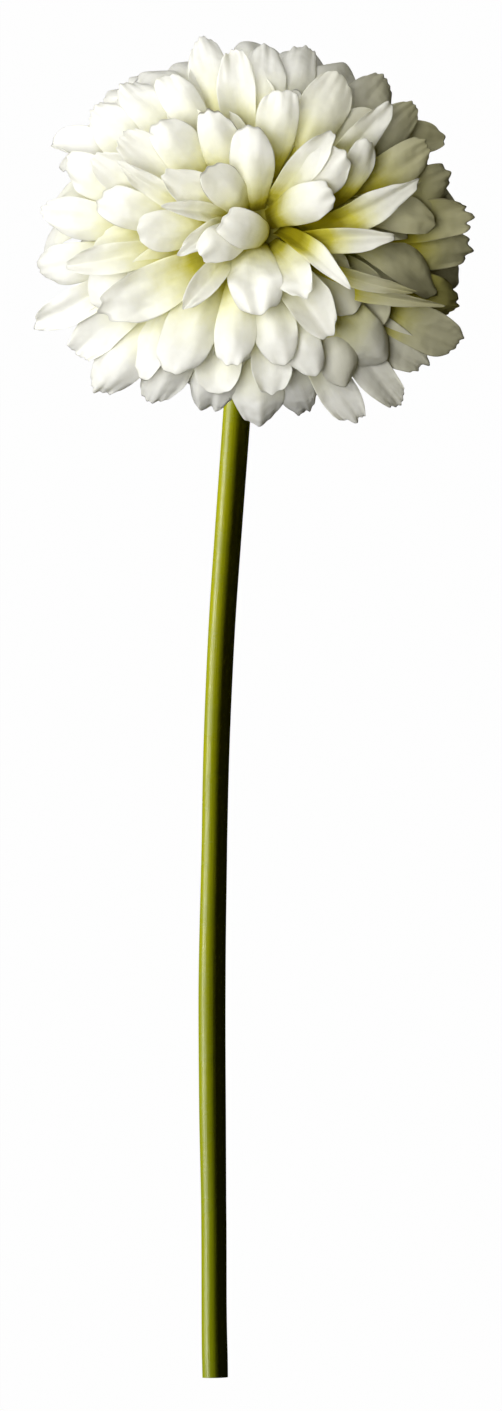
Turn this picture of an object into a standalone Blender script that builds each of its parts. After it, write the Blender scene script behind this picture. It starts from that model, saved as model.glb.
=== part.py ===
"""A cut allium, lying on a surface as it would be left on a table.

A ball-shaped bloom of broad spoon petals stands on a bare, gently curved stem. The flower lies with
its crown up. It rests on a few petals that its weight presses flat, and on the stem's cut end.
Metres, +Z up, +Y from the cut end to the bloom, origin under the middle of the whole flower.
"""

import math
import random
from dataclasses import dataclass

import bmesh
import bpy
from mathutils import Vector

MM = 0.001

# The bloom: a ball a little wider than it is long, low enough for its lowest petals to lie flat.
BLOOM_CENTRE = Vector((0.0, 138.0, 50.5)) * MM
BLOOM_HALF_SIZES = Vector((63.5, 56.5, 58.5)) * MM
CORE_RADIUS = 30.0 * MM
CORE_SEGMENTS = 16
CORE_RINGS = 10

# Petals lean away from the crown, which faces up, and close in round the neck of the stem.
CROWN = Vector((0.03, 0.06, 1.0)).normalized()
NECK = Vector((-0.08, -0.92, -0.38)).normalized()
NECK_OPENING = math.radians(15.0)

# The spiral that places most petals, and how far its petals differ from each other.
PETAL_SPOTS = 178
GOLDEN_ANGLE = math.radians(137.508)
SEED = 11
HEIGHT_JITTER = 0.006
TURN_JITTER = 0.12
REACH_RANGE = (0.90, 0.99)
RISE_RANGE = (0.80, 0.90)
SIZE_RANGE = (0.85, 1.15)
CUP_CHOICES = (-0.34, -0.28, -0.22, 0.26)
CUP_RANGE = (0.7, 1.3)
POINT_CHOICES = (0.0, 0.0, 0.04)
MOST_TWIST = math.radians(16.0)

# How far a petal bends over: less at the crown, and less where petals meet at the neck.
PETAL_BEND = math.radians(21.0)
CROWN_BEND = math.radians(7.0)
CROWN_BEND_GROWTH = 0.5
NECK_BEND_GROWTH = 0.55

# One petal: a narrow claw in the core, widening to a round spoon that bends outwards.
PETAL_THICKNESS = 0.7 * MM
PETAL_HALF_WIDTH = 6.8 * MM
ROOT_RADIUS = 26.0 * MM
CLAW_SHARE = 0.36
WIDEST_AT = 0.7
TIP_SHARE = 0.68
TIP_ROUNDING = 0.075
CUP_MIDDLE = 0.4
PETAL_ROWS = 3
PETAL_COLUMNS = 2
ROW_SPACING = 0.6

# Petals under the bloom lie in two layers on the surface.
FLOOR_LAYER = 0.9 * MM
PRESSED_BELOW = 0.25 * MM

# Petals that are seen from above are set by hand: millimetres right of and above the bloom's
# centre for the tip, then for the bend, then half the width, and the cup, below zero where the
# petal is arched. First the ones round the crown, from upper left round to the right side.
CROWN_PETALS = [
    (-28, 30, -15, 16.5, 6.4, -0.30),
    (-12, 33.5, -8.5, 17, 6.0, -0.28),
    (-0.5, 28.5, 0.5, 8, 6.6, -0.36),
    (-13, 17, -3, 6, 5.8, -0.22),
    (-24, 15, -10, 5.5, 5.6, 0.22),
    (-22.5, 5.5, -8, 3.5, 2.8, 0.50),
    (-33, -1, -15, -1, 6.2, -0.30),
    (-19, -6.5, -7, 2, 3.4, 0.55),
    (-44.5, 8.5, -25, 1, 6.0, -0.22),
    (-14, -8, -2, 0, 5.6, -0.18),
    (-7.5, 1.5, 6, -4.5, 5.6, -0.30),
    (1.5, -22.5, -0.5, -7.5, 8.1, -0.20),
    (15.5, -19.5, 7.5, -7.5, 5.5, 0.28),
    (22, -30, 9.5, -12, 6.5, 0.32),
    (17.5, -42.5, 8.5, -23.5, 6.4, -0.30),
    (-6.5, -40, -4, -17.5, 6.1, -0.40),
    (9.5, -39.5, 3, -17.5, 6.6, -0.40),
    (-24.5, -41.5, -12, -18, 8.0, -0.35),
    (-42, -23.5, -17.5, -13.5, 7.6, 0.15),
    (-19, -22.5, -7, -8.5, 3.8, 0.60),
    (22, 25.5, 8, 9.5, 4.6, 0.35),
    (26.5, 20.5, 11.5, 8.5, 7.0, -0.25),
    (22, 9.5, 7, 3.5, 5.8, -0.30),
    (38.5, 34.5, 21, 12, 4.6, 0.35),
    (34, 24.5, 25.5, 5.5, 5.2, -0.22),
    (42.5, 10, 21, -2.5, 5.0, 0.30),
    (37.5, -3, 13, -5, 3.8, 0.35),
    (23.5, -13, 11.5, -1.5, 3.3, 0.42),
    (46.5, -21.5, 21, -17, 2.9, 0.50),
    (42, -18, 19, -13, 2.6, 0.45),
    (39.5, -39, 17, -19, 8.0, -0.30),
]

# Then the ones further out, once round from upper left by way of the neck and the right side,
# and one more at the lower right.
RIM_PETALS = [
    (-38, 26.5, -21.5, 13.5, 6.0, 0.25),
    (-36, 16.5, -21, 5.5, 3.4, 0.50),
    (-45, 20, -29.5, 9.5, 6.0, 0.25),
    (-55.5, 18.5, -39, 10, 6.2, -0.25),
    (-60, 4, -41, 0.5, 6.0, -0.25),
    (-63.5, -12, -44, -9, 6.0, -0.25),
    (-51.5, -11, -29.5, -7.5, 4.5, 0.40),
    (-60, -27, -41, -17, 5.2, 0.35),
    (-51, -37, -36, -22, 6.2, 0.25),
    (-45.5, -47, -29.5, -28, 7.2, -0.30),
    (-29.5, -50.5, -19.5, -30.5, 6.6, -0.30),
    (-13.5, -54.5, -8.5, -33.5, 7.2, -0.35),
    (1.5, -57.5, 1, -36.5, 8.0, -0.30),
    (15.5, -54.5, 9, -35, 6.8, -0.30),
    (30, -55.5, 17.5, -36.5, 5.6, 0.25),
    (41, -49, 25, -30.5, 5.4, 0.35),
    (59.5, -33.5, 36, -23.5, 6.6, 0.25),
    (61, -22, 38.5, -17.5, 6.2, -0.22),
    (63, -6, 40, -6, 6.6, -0.22),
    (61, 3.5, 40, 0.5, 6.2, 0.26),
    (58, 15, 38.5, 7, 6.6, -0.25),
    (51, 23, 33.5, 11.5, 6.0, -0.25),
    (47, 35.5, 30.5, 20, 6.0, -0.25),
    (39.5, 44.5, 25.5, 27.5, 7.0, -0.25),
    (26, 43.5, 15.5, 24.5, 7.2, -0.28),
    (15, 54.5, 9.5, 33, 6.0, -0.25),
    (9, 39.5, 5.5, 21.5, 6.4, -0.30),
    (4, 53.5, 3, 33, 6.2, -0.30),
    (-6, 50, -3.5, 30, 5.6, 0.25),
    (-15.5, 55, -10.5, 34.5, 5.8, -0.25),
    (-26, 44.5, -16, 29, 5.6, -0.25),
    (-38, 42.5, -24, 27.5, 6.6, -0.28),
    (-48, 34, -32.5, 21.5, 6.6, -0.25),
    (51, -41.5, 31.5, -27.5, 5.8, 0.25),
]
FACE_REACH = 0.97
FACE_LIFT = 0.06
FACE_RISE = 0.80
FACE_ROOM = 12.0 * MM
FILLER_SINK = 0.87
FILLER_ZONE = math.radians(52.0)
FILLER_BARE = math.radians(25.0)

# The stem: points of its centre line from the cut end to inside the core.
STEM_LINE = [
    Vector(point) * MM
    for point in (
        (-10.9, -195.5, 3.8),
        (-11.2, -178.0, 4.0),
        (-11.3, -149.0, 4.8),
        (-11.7, -115.0, 6.5),
        (-11.8, -80.0, 8.9),
        (-11.2, -45.0, 11.9),
        (-10.5, -12.0, 15.3),
        (-9.0, 22.0, 19.4),
        (-7.1, 50.0, 23.5),
        (-5.2, 76.0, 28.0),
        (-3.6, 98.0, 32.5),
        (-2.0, 118.0, 37.4),
        (-1.0, 130.0, 41.0),
    )
]
STEM_CUT_RADIUS = 3.75 * MM
STEM_NECK_RADIUS = 4.05 * MM
STEM_STEPS = 3
STEM_ROUNDNESS = 4
STEM_CLEARANCE = 0.3 * MM
PETAL_STEM_GAP = 1.6 * MM
CAP_WELD = 0.01 * MM


@dataclass
class Petal:
    """Where one petal grows and how it is shaped.

    root and tip are directions from the bloom's centre. The petal rises along root to rise times
    reach, then bends over to its tip, which lies at reach. No part of it lies lower than floor.
    """

    root: Vector
    tip: Vector
    reach: float
    rise: float
    half_width: float
    cup: float
    twist: float = 0.0
    point: float = 0.0
    floor: float = PETAL_THICKNESS / 2


def clear_scene():
    """Remove every object that the scene starts with."""
    for thing in list(bpy.data.objects):
        bpy.data.objects.remove(thing, do_unlink=True)


def new_collection(name):
    """A collection linked to the scene."""
    made = bpy.data.collections.new(name)
    bpy.context.scene.collection.children.link(made)
    return made


def new_material(name, colour, roughness):
    """A Principled material with one colour."""
    material = bpy.data.materials.new(name)
    material.use_nodes = True
    shader = material.node_tree.nodes["Principled BSDF"]
    shader.inputs["Base Color"].default_value = (*colour, 1.0)
    shader.inputs["Roughness"].default_value = roughness
    shader.inputs["Metallic"].default_value = 0.0
    return material


def smooth_line(points, steps):
    """Points along a Catmull-Rom curve through the given points."""
    ends = [2 * points[0] - points[1], *points, 2 * points[-1] - points[-2]]
    line = []
    for before, start, end, after in zip(ends, ends[1:], ends[2:], ends[3:]):
        for step in range(steps):
            t = step / steps
            line.append(
                0.5
                * (
                    2 * start
                    + (end - before) * t
                    + (2 * before - 5 * start + 4 * end - after) * t**2
                    + (3 * start - before - 3 * end + after) * t**3
                )
            )
    return [*line, points[-1]]


def nearest_on_line(line, place):
    """The point of a polyline that is nearest to a place."""
    nearest = line[0]
    for start, end in zip(line, line[1:]):
        along = end - start
        share = min(1.0, max(0.0, (place - start).dot(along) / along.length_squared))
        foot = start + share * along
        if (place - foot).length_squared < (place - nearest).length_squared:
            nearest = foot
    return nearest


def lean_at(direction):
    """The way that petals lean at a place on the ball: from the crown towards the neck."""
    from_crown = direction - CROWN
    from_neck = direction - NECK
    lean = from_crown / from_crown.length_squared - from_neck / from_neck.length_squared
    return (lean - lean.dot(direction) * direction).normalized()


def ball_reach(direction):
    """The distance from the bloom's centre to the ball's surface."""
    scaled = Vector(direction[axis] / BLOOM_HALF_SIZES[axis] for axis in range(3))
    return 1.0 / scaled.length


def seen_from_above(right, up, share):
    """The place, right and up of the centre, on the ball scaled by share or just outside it."""
    wide, long, high = BLOOM_HALF_SIZES * share
    left_over = 1 - (right * MM / wide) ** 2 - (up * MM / long) ** 2
    return Vector((right * MM, up * MM, high * math.sqrt(max(0.02, left_over))))


def plan_face_petals():
    """The petals that are set by hand, the ones at the crown and at the rim a little higher."""
    petals = []
    for tip_right, tip_up, bend_right, bend_up, half_width, cup in CROWN_PETALS + RIM_PETALS:
        outward = math.hypot(tip_right, tip_up) * MM / BLOOM_HALF_SIZES.x
        share = FACE_REACH + FACE_LIFT * abs(0.5 - outward)
        tip = seen_from_above(tip_right, tip_up, share)
        root = seen_from_above(bend_right, bend_up, share * FACE_RISE).normalized()
        petals.append(
            Petal(root, tip.normalized(), tip.length, FACE_RISE, half_width * MM, cup)
        )
    return petals


def plan_petals():
    """The hand-set petals, and one at each free spot of a golden-angle spiral round the ball."""
    draw = random.Random(SEED)
    upright = CROWN.to_track_quat("Z", "Y")
    petals = plan_face_petals()
    taken = [petal.tip * petal.reach for petal in petals]
    for spot in range(PETAL_SPOTS):
        height = 1 - 2 * (spot + 0.5) / PETAL_SPOTS + draw.uniform(-HEIGHT_JITTER, HEIGHT_JITTER)
        polar = math.acos(height)
        around = spot * GOLDEN_ANGLE + draw.uniform(-TURN_JITTER, TURN_JITTER)
        flat = math.sin(polar)
        tip = upright @ Vector(
            (flat * math.cos(around), flat * math.sin(around), math.cos(polar))
        )
        bend = min(
            PETAL_BEND * draw.uniform(*SIZE_RANGE),
            CROWN_BEND + CROWN_BEND_GROWTH * polar,
            NECK_BEND_GROWTH * tip.angle(NECK),
        )
        petal = Petal(
            root=(tip * math.cos(bend) - lean_at(tip) * math.sin(bend)).normalized(),
            tip=tip,
            reach=ball_reach(tip) * draw.uniform(*REACH_RANGE),
            rise=draw.uniform(*RISE_RANGE),
            half_width=PETAL_HALF_WIDTH * draw.uniform(*SIZE_RANGE),
            cup=draw.choice(CUP_CHOICES) * draw.uniform(*CUP_RANGE),
            twist=draw.uniform(-MOST_TWIST, MOST_TWIST),
            point=draw.choice(POINT_CHOICES),
            floor=PETAL_THICKNESS / 2 + FLOOR_LAYER * (spot % 2),
        )
        if polar < FILLER_ZONE:
            petal.reach *= FILLER_SINK
        place = tip * ball_reach(tip) * FACE_REACH
        free = all((place - other).length > FACE_ROOM for other in taken)
        if free and polar > FILLER_BARE and tip.angle(NECK) > NECK_OPENING:
            petals.append(petal)
    return petals


def petal_half_width(along, petal):
    """Half the petal's width at a share of its length: claw, spoon and rounded end."""
    swell = min(1.0, along / WIDEST_AT)
    swell = swell * swell * (3 - 2 * swell)
    fall = max(0.0, (along - WIDEST_AT) / (1 - WIDEST_AT))
    return petal.half_width * (CLAW_SHARE + (1 - CLAW_SHARE) * swell - (1 - TIP_SHARE) * fall**2)


def keep_clear(place, floor, stem):
    """The place, moved out of the stem's way and up to the floor where it has to be."""
    foot = nearest_on_line(stem, place)
    apart = place - foot
    gap = STEM_NECK_RADIUS + PETAL_STEM_GAP
    if apart.length < gap:
        place = foot + apart.normalized() * gap
    place.z = max(place.z, floor)
    return place


def petal_place(petal, across, along, stem):
    """A point of the petal's middle surface. across runs from -1 to 1, along from 0 to 1."""
    rounding = TIP_ROUNDING * across**2 * along**3
    share = along - rounding + petal.point * (1 - abs(across)) * along**4
    start = petal.root * ROOT_RADIUS
    knee = petal.root * (petal.reach * petal.rise)
    end = petal.tip * petal.reach
    middle = (1 - share) ** 2 * start + 2 * share * (1 - share) * knee + share**2 * end
    ahead = ((1 - share) * (knee - start) + share * (end - knee)).normalized()
    side = petal.root.cross(petal.tip).normalized()
    face = ahead.cross(side)
    turn = petal.twist * along
    turned_side = side * math.cos(turn) + face * math.sin(turn)
    turned_face = face * math.cos(turn) - side * math.sin(turn)
    width = across * petal_half_width(along, petal)
    depth = petal.cup * petal.half_width * (across**2 - CUP_MIDDLE) * min(1.0, 2 * along)
    place = BLOOM_CENTRE + middle + turned_side * width + turned_face * depth
    return keep_clear(place, petal.floor, stem)


def make_petal(name, petal, stem, collection):
    """A petal as a thin closed shell, its lowest parts pressed flat on the surface."""
    mesh = bpy.data.meshes.new(name)
    shape = bmesh.new()
    bmesh.ops.create_grid(shape, x_segments=PETAL_COLUMNS, y_segments=PETAL_ROWS, size=1.0)
    for corner in shape.verts:
        along = ((corner.co.y + 1) / 2) ** ROW_SPACING
        corner.co = petal_place(petal, corner.co.x, along, stem)
    shape.to_mesh(mesh)
    shape.free()
    made = bpy.data.objects.new(name, mesh)
    collection.objects.link(made)
    solidify = made.modifiers.new("thickness", "SOLIDIFY")
    solidify.thickness = PETAL_THICKNESS
    solidify.offset = 0.0
    apply_modifiers(made)
    for corner in made.data.vertices:
        if corner.co.z < PRESSED_BELOW:
            corner.co.z = 0.0


def make_core(collection, material):
    """The core of the bloom, which every petal grows from."""
    mesh = bpy.data.meshes.new("bloom")
    shape = bmesh.new()
    bmesh.ops.create_uvsphere(
        shape, u_segments=CORE_SEGMENTS, v_segments=CORE_RINGS, radius=CORE_RADIUS
    )
    shape.to_mesh(mesh)
    shape.free()
    mesh.materials.append(material)
    core = bpy.data.objects.new("bloom", mesh)
    core.location = BLOOM_CENTRE
    collection.objects.link(core)
    return core


def apply_modifiers(thing):
    """Give an object the mesh that its modifiers make, and drop the modifiers."""
    graph = bpy.context.evaluated_depsgraph_get()
    made = bpy.data.meshes.new_from_object(thing.evaluated_get(graph))
    old = thing.data
    thing.modifiers.clear()
    thing.data = made
    bpy.data.meshes.remove(old)
    made.name = thing.name


def keep_main_body(thing):
    """Drop the sealed hollows and loose scraps that joining many petals leaves."""
    shape = bmesh.new()
    shape.from_mesh(thing.data)
    unseen = set(shape.verts)
    bodies = []
    while unseen:
        body = [unseen.pop()]
        for corner in body:
            for edge in corner.link_edges:
                other = edge.other_vert(corner)
                if other in unseen:
                    unseen.remove(other)
                    body.append(other)
        bodies.append(body)
    bodies.sort(key=len)
    dropped = [corner for body in bodies[:-1] for corner in body]
    bmesh.ops.delete(shape, geom=dropped, context="VERTS")
    shape.to_mesh(thing.data)
    shape.free()


def make_tube(name, line, extra):
    """A round tube along a line, as a curve with filled ends, thicker than the stem by extra."""
    curve = bpy.data.curves.new(name, "CURVE")
    curve.dimensions = "3D"
    curve.bevel_depth = 1.0
    curve.bevel_resolution = STEM_ROUNDNESS
    curve.use_fill_caps = True
    spline = curve.splines.new("POLY")
    spline.points.add(len(line) - 1)
    for number, (point, place) in enumerate(zip(spline.points, line)):
        share = number / (len(line) - 1)
        point.co = (*place, 1.0)
        point.radius = STEM_CUT_RADIUS + (STEM_NECK_RADIUS - STEM_CUT_RADIUS) * share + extra
    return bpy.data.objects.new(name, curve)


def make_hole(collection, line):
    """The cutter for the hole that the stem stands in: the stem with its clearance all round."""
    onward = (line[-1] - line[-2]).normalized() * STEM_CLEARANCE
    tube = make_tube("stem_hole_curve", [*line[:-1], line[-1] + onward], STEM_CLEARANCE)
    collection.objects.link(tube)
    graph = bpy.context.evaluated_depsgraph_get()
    mesh = bpy.data.meshes.new_from_object(tube.evaluated_get(graph))
    shape = bmesh.new()
    shape.from_mesh(mesh)
    bmesh.ops.remove_doubles(shape, verts=shape.verts, dist=CAP_WELD)
    shape.to_mesh(mesh)
    shape.free()
    hole = bpy.data.objects.new("stem_hole", mesh)
    hole.matrix_world = tube.matrix_world
    hole.hide_render = True
    hole.display_type = "WIRE"
    collection.objects.link(hole)
    bpy.data.objects.remove(tube, do_unlink=True)
    return hole


def make_bloom(collection, cutters, line, material):
    """The core and its petals as one solid, with a plain hole that the stem stands in."""
    bloom = make_core(collection, material)
    petals = new_collection("petals")
    for number, petal in enumerate(plan_petals()):
        make_petal(f"petal_{number}", petal, line, petals)
    join = bloom.modifiers.new("petals", "BOOLEAN")
    join.operation = "UNION"
    join.operand_type = "COLLECTION"
    join.collection = petals
    join.solver = "MANIFOLD"
    apply_modifiers(bloom)
    for petal in list(petals.objects):
        bpy.data.objects.remove(petal, do_unlink=True)
    bpy.data.collections.remove(petals)
    cut = bloom.modifiers.new("stem_hole", "BOOLEAN")
    cut.operation = "DIFFERENCE"
    cut.object = make_hole(cutters, line)
    cut.solver = "MANIFOLD"
    apply_modifiers(bloom)
    keep_main_body(bloom)


def make_stem(collection, line, material):
    """The bare stem, from its cut end to its seat in the core."""
    stem = make_tube("stem", line, 0.0)
    stem.data.materials.append(material)
    collection.objects.link(stem)


def main():
    """Build the flower."""
    clear_scene()
    flower = new_collection("cut_allium")
    cutters = new_collection("cutters")
    petal_white = new_material("petal_white", (0.86, 0.86, 0.76), 0.6)
    stem_green = new_material("stem_green", (0.28, 0.33, 0.05), 0.45)
    line = smooth_line(STEM_LINE, STEM_STEPS)
    make_stem(flower, line, stem_green)
    make_bloom(flower, cutters, line, petal_white)


main()
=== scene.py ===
"""The looks of a cut allium that lies on a table, seen from straight above.

A ball of broad white petals with yellow-green claws grows from a small rough core, and a bare waxy
green stem, cut straight across, runs out of it. Sizes are in metres, written as millimetres times
MM. The petals follow the same plan, seed and order of draws as the solid bloom, so each fine petal
lies where its solid petal lies. A second spiral of smaller petals fills the ball from inside.
"""

import logging
import math
import random
from collections.abc import Callable, Sequence
from dataclasses import dataclass, field
from enum import Enum

import bmesh
import bpy
import numpy as np
from bpy.types import Material, Mesh, Node, NodeTree, Object
from bpy.types import NodeSocket as Socket
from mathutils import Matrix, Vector


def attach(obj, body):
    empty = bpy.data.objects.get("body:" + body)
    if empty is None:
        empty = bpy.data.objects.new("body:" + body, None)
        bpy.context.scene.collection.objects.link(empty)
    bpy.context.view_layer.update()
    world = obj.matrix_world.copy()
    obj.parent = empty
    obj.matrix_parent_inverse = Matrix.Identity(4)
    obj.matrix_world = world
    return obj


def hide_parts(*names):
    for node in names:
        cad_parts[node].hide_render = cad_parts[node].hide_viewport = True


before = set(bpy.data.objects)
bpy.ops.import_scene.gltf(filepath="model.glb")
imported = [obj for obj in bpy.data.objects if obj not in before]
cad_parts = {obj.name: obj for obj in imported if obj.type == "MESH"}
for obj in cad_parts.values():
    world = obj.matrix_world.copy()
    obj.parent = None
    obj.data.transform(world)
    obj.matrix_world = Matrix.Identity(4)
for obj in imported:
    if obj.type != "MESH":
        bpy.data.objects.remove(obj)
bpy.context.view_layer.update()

MM = 0.001
GOLDEN_ANGLE = math.radians(137.508)
Colour = tuple[float, float, float]
Place = tuple[float, float, float]
Range = tuple[float, float]
PETAL_ATTRIBUTES = ("depth", "tone", "rim", "claw", "age")
log = logging.getLogger("cut_allium")


def pick(*pieces: Object) -> None:
    """Make these pieces the only selected ones, and the first one active.

    Args:
        pieces: the pieces.
    """
    bpy.ops.object.select_all(action="DESELECT")
    for piece in pieces:
        piece.select_set(True)
    bpy.context.view_layer.objects.active = pieces[0]


def just_added(name: str) -> Object:
    """Name the object that an operator has just made, and give it.

    Args:
        name: its name.

    Returns:
        The object.
    """
    piece = bpy.context.active_object
    piece.name = piece.data.name = name
    return piece


def finish_modifiers(piece: Object) -> None:
    """Apply every modifier of a piece, from the first to the last.

    Args:
        piece: the piece.
    """
    pick(piece)
    for modifier in list(piece.modifiers):
        bpy.ops.object.modifier_apply(modifier=modifier.name)


def places_of(mesh: Mesh) -> np.ndarray:
    """Where a mesh's vertices lie.

    Args:
        mesh: the mesh.

    Returns:
        Their places, one row each.
    """
    places = np.empty(len(mesh.vertices) * 3, np.float32)
    mesh.vertices.foreach_get("co", places)
    return places.reshape(-1, 3).astype(float)


def set_places(mesh: Mesh, places: np.ndarray) -> None:
    """Give a mesh's vertices new places."""
    mesh.vertices.foreach_set("co", places.astype(np.float32).ravel())
    mesh.update()


def set_values(mesh: Mesh, name: str, values: np.ndarray | float) -> None:
    """Write a number for each vertex into an attribute, which is made if it isn't there."""
    made = mesh.attributes.get(name) or mesh.attributes.new(name, "FLOAT", "POINT")
    made.data.foreach_set("value", np.full(len(mesh.vertices), values, np.float32))


def unit(vectors: np.ndarray) -> np.ndarray:
    """The vectors, each scaled to a length of one."""
    return vectors / np.maximum(np.linalg.norm(vectors, axis=-1, keepdims=True), 1e-12)


def smooth_line(points: Sequence[Vector], steps: int) -> list[Vector]:
    """Points along a Catmull-Rom curve.

    Args:
        points: the places that the curve goes through.
        steps: how many points stand for each stretch between two places.

    Returns:
        The points of the curve, the last place included.
    """
    ends = [2 * points[0] - points[1], *points, 2 * points[-1] - points[-2]]
    line = []
    for before, start, end, after in zip(ends, ends[1:], ends[2:], ends[3:]):
        for step in range(steps):
            t = step / steps
            place = 2 * start + (end - before) * t
            place += (2 * before - 5 * start + 4 * end - after) * t**2
            place += (3 * start - before - 3 * end + after) * t**3
            line.append(0.5 * place)
    return [*line, points[-1]]


class NodeSheet:
    """Adds nodes to one node tree, each a step to the right of the one before."""

    spacing: int = 180

    def __init__(self, tree: NodeTree) -> None:
        """Start on a node tree."""
        self.tree = tree
        self.across = 0

    def fill(self, node: Node, values: dict) -> None:
        """Give a node's inputs their values.

        Args:
            node: the node.
            values: for each input, by name or number, a plain value or a socket to link.
        """
        for name, value in values.items():
            socket = node.inputs[name]
            if isinstance(value, Socket):
                self.tree.links.new(value, socket)
            else:
                socket.default_value = (*value, 1.0) if socket.type == "RGBA" else value

    def add(self, kind: str, values: dict | None = None, **settings: object) -> Node:
        """Add a node.

        Args:
            kind: the node's type name, without a leading "ShaderNode".
            values: what its inputs get, by name or number.
            settings: the node's own properties.

        Returns:
            The new node.
        """
        node = self.tree.nodes.new(kind if kind.startswith("Node") else f"ShaderNode{kind}")
        node.location = (self.across, 0)
        self.across += self.spacing
        for name, value in settings.items():
            setattr(node, name, value)
        self.fill(node, values or {})
        return node

    def group(self, tree: NodeTree, place: Socket, **values: float) -> Socket:
        """Add a shared group at a place, and give its mask."""
        return self.add("Group", {"Vector": place, **values}, node_tree=tree).outputs["Mask"]

    def math(self, operation: str, *inputs: object) -> Socket:
        """Add a Math node and give its result."""
        return self.add("Math", dict(enumerate(inputs)), operation=operation).outputs[0]

    def ease(self, value: object, between: Range, onto: Range = (0.0, 1.0)) -> Socket:
        """Ease a value that runs between two numbers onto two others, held there outside."""
        values = {0: value, 1: between[0], 2: between[1], 3: onto[0], 4: onto[1]}
        return self.add("MapRange", values, interpolation_type="SMOOTHSTEP").outputs[0]

    def mix(self, share: object, one: object, other: object, how: str = "MIX") -> Socket:
        """Mix two colours, of which the second has this share, and give the result."""
        ends = {0: share, 6: one, 7: other}
        return self.add("Mix", ends, data_type="RGBA", blend_type=how).outputs[2]

    def noise(self, place: Socket, scale: object, detail: float, rough: float = 0.5) -> Socket:
        """Add a Noise Texture node and give its value."""
        values = {"Vector": place, "Scale": scale, "Detail": detail, "Roughness": rough}
        return self.add("TexNoise", values).outputs[0]

    def cells(self, place: Socket, scale: float) -> Socket:
        """Add a Voronoi Texture node and give the distance from each cell's point."""
        return self.add("TexVoronoi", {"Vector": place, "Scale": scale}).outputs["Distance"]

    def bump(self, height: Socket, strength: float, depth: float, **more: Socket) -> Socket:
        """Add a Bump node and give its normal."""
        values = {"Height": height, "Strength": strength, "Distance": depth, **more}
        return self.add("Bump", values).outputs[0]

    def ramp(self, share: object, stops: Sequence[tuple[float, Colour]]) -> Socket:
        """Run a share through a colour ramp.

        Args:
            share: the place on the ramp, from 0 to 1.
            stops: the place and the colour of each stop.

        Returns:
            The colour.
        """
        node = self.add("ValToRGB", {0: share})
        elements = node.color_ramp.elements
        while len(elements) < len(stops):
            elements.new(0.5)
        for element, (place, colour) in zip(elements, stops):
            element.position = place
            element.color = (*colour, 1.0)
        return node.outputs[0]


class Effects:
    """The shader groups that more than one finish uses. Each puts out one mask."""

    def __init__(self) -> None:
        """Build each group once."""
        self.fibres = self.make_fibres()
        self.mottle = self.make_mottle()

    @staticmethod
    def start(name: str, **inputs: float) -> tuple[NodeSheet, Sequence[Socket], Node]:
        """Start a group with a vector and some numbers going in and a mask coming out.

        Args:
            name: the group's name.
            inputs: the value at rest of each number that goes in.

        Returns:
            A sheet on the group, the sockets of what goes in, and the group's output node.
        """
        tree = bpy.data.node_groups.new(name, "ShaderNodeTree")
        tree.interface.new_socket("Vector", in_out="INPUT", socket_type="NodeSocketVector")
        for label, value in inputs.items():
            made = tree.interface.new_socket(label, in_out="INPUT", socket_type="NodeSocketFloat")
            made.default_value = value
        tree.interface.new_socket("Mask", in_out="OUTPUT", socket_type="NodeSocketFloat")
        sheet = NodeSheet(tree)
        given = sheet.add("NodeGroupInput").outputs
        return sheet, given, sheet.add("NodeGroupOutput")

    def make_fibres(self) -> NodeTree:
        """Fibres and veins that run along a petal or the stem.

        Returns:
            The group. Vector holds the place across the piece, along it, and a number of its own.
        """
        sheet, given, end = self.start("long_fibres", Across=20.0, Along=1.5, Wander=0.1)
        drift = sheet.noise(given["Vector"], 3.0, 1.0)
        wander = sheet.math("MULTIPLY", drift, given["Wander"])
        split = sheet.add("SeparateXYZ", {0: given["Vector"]}).outputs
        swayed = sheet.math("ADD", split[0], wander)
        place = {
            0: sheet.math("MULTIPLY", swayed, given["Across"]),
            1: sheet.math("MULTIPLY", split[1], given["Along"]),
            2: split[2],
        }
        fibres = sheet.noise(sheet.add("CombineXYZ", place).outputs[0], 1.0, 3.0, 0.6)
        sheet.fill(end, {"Mask": sheet.ease(fibres, (0.3, 0.7))})
        return sheet.tree

    def make_mottle(self) -> NodeTree:
        """Soft patches with finer specks in them.

        Returns:
            The group. Scale is for metres where Vector is Object coordinates.
        """
        sheet, given, end = self.start("soft_mottle", Scale=100.0, Specks=0.3)
        patches = sheet.noise(given["Vector"], given["Scale"], 2.0)
        fine_scale = sheet.math("MULTIPLY", given["Scale"], 7.0)
        specks = sheet.math("SUBTRACT", sheet.noise(given["Vector"], fine_scale, 3.0), 0.5)
        both = sheet.math("ADD", patches, sheet.math("MULTIPLY", specks, given["Specks"]))
        sheet.fill(end, {"Mask": sheet.ease(both, (0.3, 0.7))})
        return sheet.tree


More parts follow.
